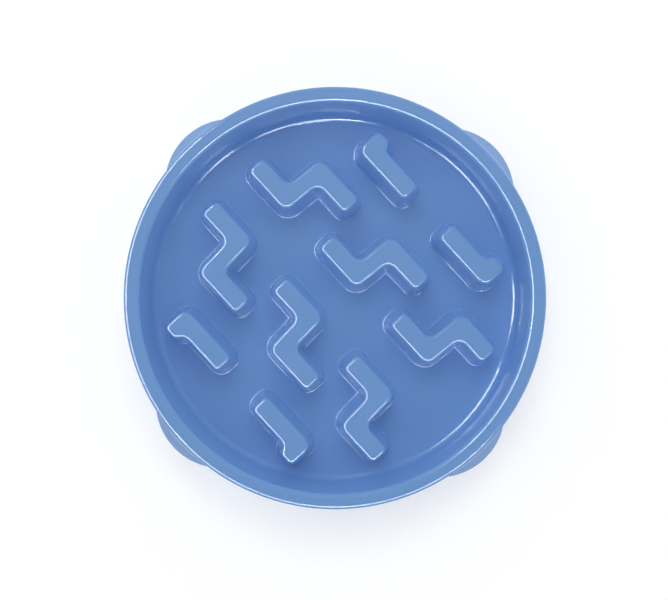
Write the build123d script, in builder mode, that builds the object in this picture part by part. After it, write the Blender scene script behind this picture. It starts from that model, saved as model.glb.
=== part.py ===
from build123d import *
import os
from math import cos, radians, sqrt, tan

# Slow feeder bowl: one hollow moulding with raised ridges, standing on four push-in rubber feet.
# Lengths are in millimetres and angles in degrees. The table is z = 0, the bowl is centred on Z,
# and the ridge pattern mirrors across the XZ plane.

# Bowl
rim_diameter = 216.0
rim_width = 7.8
rim_inner_round = 2.4
rim_outer_round = 2.0
bowl_height = 44.0
wall = 2.2
floor_height = 9.0
basin_draft = 4.0
basin_corner = 4.0
skirt_draft = 3.0
skirt_lift = 2.0
skirt_edge_round = 0.6
underside_round = 0.5

# Lobes that widen the base over each foot
lobe_count = 4
lobe_radius = 36.0
lobe_reach = 5.4
lobe_drop = 11.2
lobe_top_draft = 35.0
lobe_top_round = 2.0
lobe_blend = 5.0

# Ridges, measured across their flat tops
ridge_rows = 3
ridge_width = 10.0
ridge_drop = 8.0
ridge_draft = 6.5
ridge_top_round = 1.8
ridge_foot_round = 1.2
jog_width = 9.0
jog_lean = 3.5
hook_width = 7.6
hook_reach = 4.7
hook_slope = 3.2
bend_round = 5.2
end_round = 2.8
inside_margin = 0.3
corner_share = 0.7

# Ridge layout in lanes; one lane is half the passage along the middle of the bowl
middle_lanes = 1.0
jog_lanes = 1.05
side_lanes = 1.53
rim_lanes = 2.06
pitch_lanes = 4.775
inner_arm_lanes = 1.77
outer_arm_lanes = 1.82
last_arm_lanes = 1.54
bar_start_lanes = 1.17
bar_end_lanes = 4.27

# Rubber feet and the bosses they push into
foot_length = 34.0
foot_width = 10.5
foot_thickness = 6.0
foot_edge_round = 0.8
foot_side_gap = 0.7
tread_margin = 1.9
tread_width = 1.0
tread_depth = 0.6
stem_spacing = 19.0
stem_diameter = 5.0
stem_length = 8.0
stem_lead = 0.8
stem_clearance = 0.05
boss_wall = 2.0
boss_bottom_gap = 1.5

# Mark left by the moulding gate under the floor
gate_dish_diameter = 10.0
gate_dish_depth = 0.5
gate_nib_diameter = 2.6

# How close to a level a flat face must lie to be taken as lying on it
level_slack = 0.01

# Bowl sizes that follow
rim_radius = rim_diameter / 2
basin_rim_radius = rim_radius - rim_width
basin_depth = bowl_height - floor_height
basin_slope = tan(radians(basin_draft))
basin_floor_radius = basin_rim_radius - basin_depth * basin_slope
flat_floor_radius = basin_floor_radius - basin_corner * tan(radians((90 - basin_draft) / 2))
basin_wall = wall / cos(radians(basin_draft))
floor_underside = floor_height - wall
basin_underside_radius = basin_floor_radius + basin_wall - wall * basin_slope

skirt_height = bowl_height - skirt_lift
skirt_slope = tan(radians(skirt_draft))
skirt_foot_radius = rim_radius + skirt_height * skirt_slope
skirt_wall = wall / cos(radians(skirt_draft))

lobe_centre = skirt_foot_radius + lobe_reach - lobe_radius
lobe_height = skirt_height - lobe_drop
lobe_shoulder_radius = lobe_radius - lobe_height * skirt_slope
lobe_top_height = lobe_drop - rim_outer_round
lobe_top_slope = tan(radians(lobe_top_draft))
lobe_top_wall = wall / cos(radians(lobe_top_draft))
lobe_inside_drop = (lobe_top_wall - skirt_wall) / (lobe_top_slope - skirt_slope)
lobe_inside_height = lobe_height - lobe_inside_drop
lobe_inside_shoulder_radius = lobe_radius - skirt_wall - lobe_inside_height * skirt_slope
lobe_inside_top_height = lobe_top_height + lobe_inside_drop - wall

# Ridge sizes and places that follow
ridge_top = bowl_height - ridge_drop
ridge_height = ridge_top - floor_height
ridge_slope = tan(radians(ridge_draft))
ridge_wall = wall / cos(radians(ridge_draft))
inside_round = ridge_height * ridge_slope + ridge_foot_round + inside_margin
ridge_root = floor_height - wall / 2
ridge_root_spread = (ridge_top - ridge_root) * ridge_slope
cavity_top = ridge_top - wall
cavity_root = floor_underside - wall / 2
cavity_root_spread = (ridge_top - cavity_root) * ridge_slope - ridge_wall
cavity_end_round = end_round - ridge_wall + wall * ridge_slope
ceiling_round = min(underside_round, corner_share * cavity_end_round)

lane_total = middle_lanes + jog_lanes + side_lanes + rim_lanes
lane = (flat_floor_radius - ridge_rows * ridge_width) / lane_total
inner_row = middle_lanes * lane
outer_row = inner_row + ridge_width + jog_lanes * lane
bar_row = outer_row + ridge_width + side_lanes * lane
hook_row = bar_row + ridge_width + hook_reach
pitch = pitch_lanes * lane
jog_shift = (outer_row - inner_row) / 2 * tan(radians(jog_lean))
bar_start = bar_start_lanes * lane
bar_end = bar_end_lanes * lane

# Foot sizes and places that follow
foot_cap_radius = foot_width / 2
foot_cap_offset = foot_length / 2 - foot_cap_radius
lobe_inside_radius = lobe_radius - skirt_wall - (foot_thickness - skirt_lift) * skirt_slope
foot_cap_reach = lobe_inside_radius - foot_cap_radius - foot_side_gap
foot_radius = lobe_centre + sqrt(foot_cap_reach**2 - foot_cap_offset**2)
stem_radius = stem_diameter / 2
stem_offset = stem_spacing / 2
boss_hole_radius = stem_radius + stem_clearance
boss_radius = boss_hole_radius + boss_wall
boss_hole_depth = stem_length + boss_bottom_gap
tread_length = foot_length - 2 * tread_margin
tread_breadth = foot_width - 2 * tread_margin

os.makedirs("parts", exist_ok=True)

# Outlines of the flat ridge tops: three zigzags and two hooked bars, then their mirror images
with BuildSketch() as ridge_tops:
    zigzag_rounds = (end_round, bend_round, inside_round, end_round) * 2
    for column, run_lanes in ((-1, outer_arm_lanes), (0, outer_arm_lanes), (1, last_arm_lanes)):
        jog_left = column * pitch - jog_width / 2
        jog_right = column * pitch + jog_width / 2
        arm_start = jog_left - inner_arm_lanes * lane
        arm_end = jog_right + run_lanes * lane
        with BuildLine():
            FilletPolyline(
                (arm_start, inner_row),
                (jog_right - jog_shift, inner_row),
                (jog_right + jog_shift, outer_row),
                (arm_end, outer_row),
                (arm_end, outer_row + ridge_width),
                (jog_left + jog_shift, outer_row + ridge_width),
                (jog_left - jog_shift, inner_row + ridge_width),
                (arm_start, inner_row + ridge_width),
                radius=zigzag_rounds,
                close=True,
            )
        make_face()
    for side in (-1, 1):
        with BuildLine():
            FilletPolyline(
                (side * bar_start, bar_row),
                (side * bar_end, bar_row),
                (side * bar_end, hook_row),
                (side * (bar_end - hook_width), hook_row),
                (side * (bar_end - hook_width - hook_slope), bar_row + ridge_width),
                (side * bar_start, bar_row + ridge_width),
                radius=(end_round, bend_round, end_round, end_round, inside_round, end_round),
                close=True,
            )
        make_face()
    mirror(about=Plane.XZ)

# Centres of the stems, two to a foot
with BuildSketch() as stem_circles:
    with PolarLocations(foot_radius, lobe_count):
        with Locations((0, -stem_offset), (0, stem_offset)):
            Circle(stem_radius)

# The hollow under the bowl: inside the skirt and lobes, around the basin, and up into the ridges
with BuildPart() as hollow:
    with BuildSketch(Plane.XY.offset(skirt_lift)):
        with PolarLocations(-lobe_centre, lobe_count):
            Circle(lobe_radius - skirt_wall)
    extrude(amount=lobe_inside_height, taper=skirt_draft)
    with BuildSketch(Plane.XY.offset(skirt_lift + lobe_inside_height)):
        with PolarLocations(-lobe_centre, lobe_count):
            Circle(lobe_inside_shoulder_radius)
    extrude(amount=lobe_inside_top_height, taper=lobe_top_draft)
    with BuildSketch(Plane.XZ):
        with BuildLine():
            Polyline(
                (0, skirt_lift),
                (skirt_foot_radius - skirt_wall, skirt_lift),
                (rim_radius - skirt_wall, bowl_height - wall),
                (0, bowl_height - wall),
                close=True,
            )
        make_face()
    revolve(axis=Axis.Z)
    with BuildSketch(Plane.XZ):
        with BuildLine():
            FilletPolyline(
                (0, floor_underside),
                (basin_underside_radius, floor_underside),
                (basin_rim_radius + basin_wall, bowl_height),
                (0, bowl_height),
                radius=(0, basin_corner + wall, 0, 0),
                close=True,
            )
        make_face()
    revolve(axis=Axis.Z, mode=Mode.SUBTRACT)
    with BuildSketch(Plane.XY.offset(cavity_root)):
        add(ridge_tops.sketch)
        offset(amount=cavity_root_spread)
    extrude(amount=cavity_top - cavity_root, taper=ridge_draft)
    ceilings = hollow.faces().filter_by(Axis.Z).filter_by_position(
        Axis.Z, cavity_top - level_slack, cavity_top + level_slack
    )
    fillet(ceilings.edges(), ceiling_round)
    undersides = hollow.faces().filter_by(Axis.Z).filter_by_position(
        Axis.Z, floor_underside - level_slack, floor_underside + level_slack
    )
    fillet(undersides.first.inner_wires().edges(), underside_round)
    with BuildSketch(Plane.XY.offset(floor_underside)):
        Circle(gate_dish_diameter / 2)
        Circle(gate_nib_diameter / 2, mode=Mode.SUBTRACT)
    extrude(amount=gate_dish_depth)
    with BuildSketch(Plane.XY.offset(foot_thickness)):
        add(stem_circles.sketch)
        offset(amount=boss_radius - stem_radius)
    extrude(amount=bowl_height - foot_thickness, mode=Mode.SUBTRACT)

with BuildPart() as bowl_shell:
    # Lobes, skirt and rim as one block
    with BuildSketch(Plane.XY.offset(skirt_lift)):
        with PolarLocations(-lobe_centre, lobe_count):
            Circle(lobe_radius)
    extrude(amount=lobe_height, taper=skirt_draft)
    with BuildSketch(Plane.XY.offset(skirt_lift + lobe_height)):
        with PolarLocations(-lobe_centre, lobe_count):
            Circle(lobe_shoulder_radius)
    extrude(amount=lobe_top_height, taper=lobe_top_draft)
    with BuildSketch(Plane.XZ):
        with BuildLine():
            Polyline(
                (0, skirt_lift),
                (skirt_foot_radius, skirt_lift),
                (rim_radius, bowl_height),
                (0, bowl_height),
                close=True,
            )
        make_face()
    revolve(axis=Axis.Z)
    lobe_shoulders = bowl_shell.edges().filter_by(GeomType.CIRCLE).filter_by_position(
        Axis.Z, skirt_lift + lobe_height - level_slack, skirt_lift + lobe_height + level_slack
    )
    fillet(lobe_shoulders, lobe_top_round)
    fillet(bowl_shell.edges().filter_by(GeomType.BSPLINE), lobe_blend)
    fillet(bowl_shell.faces().sort_by(Axis.Z).first.edges(), skirt_edge_round)
    fillet(bowl_shell.faces().sort_by(Axis.Z).last.edges(), rim_outer_round)

    # Basin
    with BuildSketch(Plane.XZ):
        with BuildLine():
            FilletPolyline(
                (0, floor_height),
                (basin_floor_radius, floor_height),
                (basin_rim_radius, bowl_height),
                (0, bowl_height),
                radius=(0, basin_corner, 0, 0),
                close=True,
            )
        make_face()
    revolve(axis=Axis.Z, mode=Mode.SUBTRACT)
    fillet(bowl_shell.faces().sort_by(Axis.Z).last.inner_wires().edges(), rim_inner_round)

    # Ridges rising from the floor
    with BuildSketch(Plane.XY.offset(ridge_root)):
        add(ridge_tops.sketch)
        offset(amount=ridge_root_spread)
    extrude(amount=ridge_top - ridge_root, taper=ridge_draft)
    tops = bowl_shell.faces().filter_by(Axis.Z).filter_by_position(
        Axis.Z, ridge_top - level_slack, ridge_top + level_slack
    )
    fillet(tops.edges(), ridge_top_round)
    floors = bowl_shell.faces().filter_by(Axis.Z).filter_by_position(
        Axis.Z, floor_height - level_slack, floor_height + level_slack
    )
    fillet(floors.first.inner_wires().edges(), ridge_foot_round)

    # Hollow from below, with a socket for each stem
    add(hollow.part, mode=Mode.SUBTRACT)
    with BuildSketch(Plane.XY.offset(foot_thickness)):
        add(stem_circles.sketch)
        offset(amount=stem_clearance)
    extrude(amount=boss_hole_depth, mode=Mode.SUBTRACT)

bowl_shell.part.label = "bowl_shell"
export_step(bowl_shell.part, "parts/bowl_shell.step")

# Four rubber feet: a pad with a ring groove in its tread, and two stems that push into the bosses
foot_turns = (("right", 0), ("back", 90), ("left", 180), ("front", 270))
for foot_side, foot_turn in foot_turns:
    foot_plane = Plane.XY.rotated((0, 0, foot_turn))
    with BuildPart() as rubber_foot:
        with BuildSketch(foot_plane):
            with Locations((foot_radius, 0)):
                SlotOverall(foot_length, foot_width, rotation=90)
        extrude(amount=foot_thickness)
        fillet(rubber_foot.faces().sort_by(Axis.Z).first.edges(), foot_edge_round)
        with BuildSketch(foot_plane):
            with Locations((foot_radius, 0)):
                SlotOverall(tread_length, tread_breadth, rotation=90)
                SlotOverall(
                    tread_length - 2 * tread_width,
                    tread_breadth - 2 * tread_width,
                    rotation=90,
                    mode=Mode.SUBTRACT,
                )
        extrude(amount=tread_depth, mode=Mode.SUBTRACT)
        with BuildSketch(foot_plane.offset(foot_thickness)):
            with Locations((foot_radius, -stem_offset), (foot_radius, stem_offset)):
                Circle(stem_radius)
        extrude(amount=stem_length)
        stem_tips = rubber_foot.faces().filter_by(Axis.Z).filter_by_position(
            Axis.Z, foot_thickness + stem_length - level_slack, foot_thickness + stem_length + level_slack
        )
        chamfer(stem_tips.edges(), stem_lead)
    rubber_foot.part.label = f"rubber_foot_{foot_side}"
    export_step(rubber_foot.part, f"parts/rubber_foot_{foot_side}.step")
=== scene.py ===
from math import cos, radians, sin

import bpy
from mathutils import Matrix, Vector

# A slow feeder bowl on a white table, seen from straight above
# Lengths are in metres, the sensor's width is in millimetres, and angles are in degrees

# Camera
image_width = 668
focal_pixels = 1333.0
sensor_width = 36.0
camera_height = 0.724
camera_turn = 47.4
camera_x = 0.0004
camera_y = -0.0010

# Table and the light from all round
white = (1.0, 1.0, 1.0, 1.0)
table_radius = 4.0
table_steps = 96
table_white = (0.80, 0.795, 0.785, 1.0)
table_glow = 0.22
sky_low = 0.66
sky_high = 0.38

# Lamps
lamp_target = (0.0, 0.0, 0.0)
key_power = 9.0
key_size = 0.9
key_place = (-0.45, 0.42, 1.5)
fill_count = 8
fill_height = 15.0
fill_spread = 40.0
fill_level = 0.42
panel_level = 74.0
panel_distance = 1.2
panel_rise = 49.0
panel_tall = 0.50

# Name, turn and width of each panel
panels = (("front_panel", 270.0, 1.65), ("left_panel", 202.0, 0.74), ("right_panel", 338.0, 0.74))

# Plastic and rubber
plastic_blue = (0.127, 0.261, 0.528)
plastic_cloud = (0.135, 0.273, 0.546)
plastic_speck = (0.156, 0.304, 0.580)
rubber_black = (0.030, 0.032, 0.036)
rubber_bloom = (0.062, 0.064, 0.068)
rubber_dust = (0.13, 0.13, 0.125)
refraction = 1.5
specular_level = 0.35

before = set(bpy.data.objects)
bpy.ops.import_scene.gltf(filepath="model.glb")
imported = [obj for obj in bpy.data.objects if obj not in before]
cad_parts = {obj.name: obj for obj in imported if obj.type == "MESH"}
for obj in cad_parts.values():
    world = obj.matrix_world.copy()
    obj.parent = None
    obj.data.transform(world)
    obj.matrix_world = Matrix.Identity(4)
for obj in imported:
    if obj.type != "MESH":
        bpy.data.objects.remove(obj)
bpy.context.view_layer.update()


def set_inputs(node, **values):
    """Sets a node's input sockets by name, with spaces written as underscores."""
    for name, value in values.items():
        node.inputs[name.replace("_", " ")].default_value = value
    return node


def around(radius, turn, height):
    """The point at a radius, a turn about the upright axis and a height."""
    return (radius * cos(radians(turn)), radius * sin(radians(turn)), height)


class Shader:
    """A material's node tree, with short ways to add and join nodes."""

    def __init__(self, name):
        self.material = bpy.data.materials.new(name)
        self.material.use_nodes = True
        self.tree = self.material.node_tree
        self.tree.nodes.clear()
        self.output = self.tree.nodes.new("ShaderNodeOutputMaterial")

    def node(self, kind, **values):
        return set_inputs(self.tree.nodes.new(kind), **values)

    def link(self, source, target):
        self.tree.links.new(source, target)

    def noise(self, place, scale, detail, roughness=0.5):
        node = self.node("ShaderNodeTexNoise", Scale=scale, Detail=detail, Roughness=roughness)
        self.link(place, node.inputs["Vector"])
        return node.outputs["Fac"]

    def stretched(self, place, scale, turn):
        node = self.node("ShaderNodeMapping", Scale=scale, Rotation=(0.0, 0.0, radians(turn)))
        self.link(place, node.inputs["Vector"])
        return node.outputs["Vector"]

    def span(self, source, low, high, to_low, to_high):
        """Maps a range of values onto another."""
        node = self.node("ShaderNodeMapRange", From_Min=low, From_Max=high, To_Min=to_low, To_Max=to_high)
        self.link(source, node.inputs["Value"])
        return node.outputs["Result"]

    def blend(self, factor, first, second):
        """Mixes two colours, each a constant or a socket."""
        node = self.tree.nodes.new("ShaderNodeMix")
        node.data_type = "RGBA"
        self.link(factor, node.inputs["Factor"])
        # The colour sockets share their names with the number and vector ones, so they are taken by place
        first_socket, second_socket, mixed = node.inputs[6], node.inputs[7], node.outputs[2]
        for colour, socket in ((first, first_socket), (second, second_socket)):
            if isinstance(colour, tuple):
                socket.default_value = (*colour, 1.0)
            else:
                self.link(colour, socket)
        return mixed

    def maths(self, operation, first, second):
        """Joins two values, each a constant or a socket."""
        node = self.tree.nodes.new("ShaderNodeMath")
        node.operation = operation
        for value, socket in ((first, node.inputs[0]), (second, node.inputs[1])):
            if isinstance(value, float):
                socket.default_value = value
            else:
                self.link(value, socket)
        return node.outputs[0]

    def bump(self, height, distance, strength, below=None):
        node = self.node("ShaderNodeBump", Distance=distance, Strength=strength)
        self.link(height, node.inputs["Height"])
        if below is not None:
            self.link(below, node.inputs["Normal"])
        return node.outputs["Normal"]

    def finish(self, shader):
        self.link(shader.outputs[0], self.output.inputs["Surface"])
        return self.material


def blue_plastic():
    """Satin-gloss moulded plastic: cloudy pigment, fine specks, a moulded grain and slow waves in its skin."""
    s = Shader("blue_plastic")
    place = s.tree.nodes.new("ShaderNodeTexCoord").outputs["Object"]
    clouds = s.noise(place, scale=28.0, detail=3.0)
    clouds = s.span(clouds, low=0.3, high=0.7, to_low=0.0, to_high=1.0)
    colour = s.blend(clouds, plastic_blue, plastic_cloud)
    specks = s.noise(place, scale=900.0, detail=1.0)
    specks = s.span(specks, low=0.62, high=0.78, to_low=0.0, to_high=0.25)
    colour = s.blend(specks, colour, plastic_speck)
    smudges = s.noise(s.stretched(place, scale=(60.0, 140.0, 60.0), turn=35.0), scale=1.0, detail=3.0)
    rough = s.span(smudges, low=0.3, high=0.7, to_low=0.165, to_high=0.195)
    grain = s.bump(s.noise(place, scale=2600.0, detail=2.0), distance=0.00004, strength=0.10)
    waves = s.bump(s.noise(place, scale=45.0, detail=2.0), distance=0.0004, strength=0.04, below=grain)
    plastic = s.node("ShaderNodeBsdfPrincipled", IOR=refraction, Specular_IOR_Level=specular_level)
    s.link(colour, plastic.inputs["Base Color"])
    s.link(rough, plastic.inputs["Roughness"])
    s.link(waves, plastic.inputs["Normal"])
    return s.finish(plastic)


def foot_rubber():
    """Matt dark rubber: fine grain, dusty bloom and small pits."""
    s = Shader("foot_rubber")
    place = s.tree.nodes.new("ShaderNodeTexCoord").outputs["Object"]
    bloom = s.noise(place, scale=220.0, detail=4.0, roughness=0.6)
    bloom = s.span(bloom, low=0.35, high=0.7, to_low=0.0, to_high=1.0)
    colour = s.blend(bloom, rubber_black, rubber_bloom)
    dust = s.noise(place, scale=1800.0, detail=2.0)
    dust = s.span(dust, low=0.64, high=0.8, to_low=0.0, to_high=0.5)
    colour = s.blend(dust, colour, rubber_dust)
    rough = s.span(bloom, low=0.0, high=1.0, to_low=0.68, to_high=0.86)
    grain = s.bump(s.noise(place, scale=3200.0, detail=3.0), distance=0.00008, strength=0.5)
    pits = s.bump(s.noise(place, scale=600.0, detail=2.0), distance=0.00015, strength=0.25, below=grain)
    rubber = s.node("ShaderNodeBsdfPrincipled", IOR=refraction, Specular_IOR_Level=specular_level)
    set_inputs(rubber, Sheen_Weight=0.08, Sheen_Roughness=0.5)
    s.link(colour, rubber.inputs["Base Color"])
    s.link(rough, rubber.inputs["Roughness"])
    s.link(pits, rubber.inputs["Normal"])
    return s.finish(rubber)


def dress(node, material):
    """Gives a piece its one material."""
    node.data.materials.clear()
    node.data.materials.append(material)


plastic = blue_plastic()
rubber = foot_rubber()
for name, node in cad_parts.items():
    dress(node, rubber if name.startswith("rubber_foot") else plastic)

# Table: a white disc that keeps the soft shadow and shows white where nothing shades it
table_mesh = bpy.data.meshes.new("table")
ring = [around(table_radius, 360.0 * step / table_steps, 0.0) for step in range(table_steps)]
table_mesh.from_pydata(ring, [], [list(range(table_steps))])
table = bpy.data.objects.new("table", table_mesh)
bpy.context.scene.collection.objects.link(table)

paint = Shader("white_table")
light_path = paint.tree.nodes.new("ShaderNodeLightPath").outputs
seen = paint.maths("MAXIMUM", light_path["Is Camera Ray"], light_path["Is Glossy Ray"])
seen = paint.maths("MAXIMUM", seen, light_path["Is Transmission Ray"])
matt = paint.node("ShaderNodeBsdfDiffuse", Color=table_white)
glow = paint.node("ShaderNodeEmission", Color=white)
paint.link(paint.maths("MULTIPLY", seen, table_glow), glow.inputs["Strength"])
both = paint.tree.nodes.new("ShaderNodeAddShader")
paint.link(matt.outputs[0], both.inputs[0])
paint.link(glow.outputs[0], both.inputs[1])
table_mesh.materials.append(paint.finish(both))

# World: white light from all round, stronger low down than overhead, as inside a light tent
world = bpy.data.worlds.new("studio")
world.use_nodes = True
sky = world.node_tree
background = set_inputs(sky.nodes["Background"], Color=white)
heading = sky.nodes.new("ShaderNodeTexCoord")
axes = sky.nodes.new("ShaderNodeSeparateXYZ")
level = sky.nodes.new("ShaderNodeMapRange")
set_inputs(level, From_Min=0.0, From_Max=1.0, To_Min=sky_low, To_Max=sky_high)
sky.links.new(heading.outputs["Generated"], axes.inputs["Vector"])
sky.links.new(axes.outputs["Z"], level.inputs["Value"])
sky.links.new(level.outputs["Result"], background.inputs["Strength"])
bpy.context.scene.world = world


def softbox(name, centre, width, height, power):
    """A rectangular lamp that faces the bowl."""
    lamp = bpy.data.lights.new(name, "AREA")
    lamp.shape = "RECTANGLE"
    lamp.size = width
    lamp.size_y = height
    lamp.energy = power
    lamp_object = bpy.data.objects.new(name, lamp)
    lamp_object.location = centre
    lamp_object.rotation_euler = (Vector(lamp_target) - Vector(centre)).to_track_quat("-Z", "Y").to_euler()
    bpy.context.scene.collection.objects.link(lamp_object)
    return lamp_object


# Three panels, to the lower left in the picture, show only in reflections and draw the bright lines along edges
panel_reach = panel_distance * cos(radians(panel_rise))
panel_height = panel_distance * sin(radians(panel_rise))
for name, turn, wide in panels:
    centre = around(panel_reach, turn, panel_height)
    panel = softbox(name, centre, wide, panel_tall, panel_level * wide * panel_tall)
    panel.visible_diffuse = False

# A soft lamp overhead, towards the top of the picture, lights the slopes that face it
key = softbox("key_softbox", key_place, key_size, key_size, key_power)
key.visible_glossy = False

# A ring of soft low lamps without shadows lifts the walls between the ridges
for index in range(fill_count):
    fill = bpy.data.lights.new(f"fill_{index}", "SUN")
    fill.angle = radians(fill_spread)
    fill.energy = fill_level
    fill.use_shadow = False
    fill_object = bpy.data.objects.new(f"fill_{index}", fill)
    fill_object.rotation_euler = (radians(90.0 - fill_height), 0.0, radians(360.0 * index / fill_count))
    fill_object.visible_glossy = False
    bpy.context.scene.collection.objects.link(fill_object)

# Camera: straight above, turned so that the ridges run as they do in the picture
camera_data = bpy.data.cameras.new("camera")
camera_data.sensor_fit = "HORIZONTAL"
camera_data.sensor_width = sensor_width
camera_data.lens = focal_pixels * sensor_width / image_width
camera = bpy.data.objects.new("camera", camera_data)
camera.location = (camera_x, camera_y, camera_height)
camera.rotation_euler = (0.0, 0.0, radians(camera_turn))
bpy.context.scene.collection.objects.link(camera)
bpy.context.scene.camera = camera

bpy.context.scene.view_settings.view_transform = "Standard"
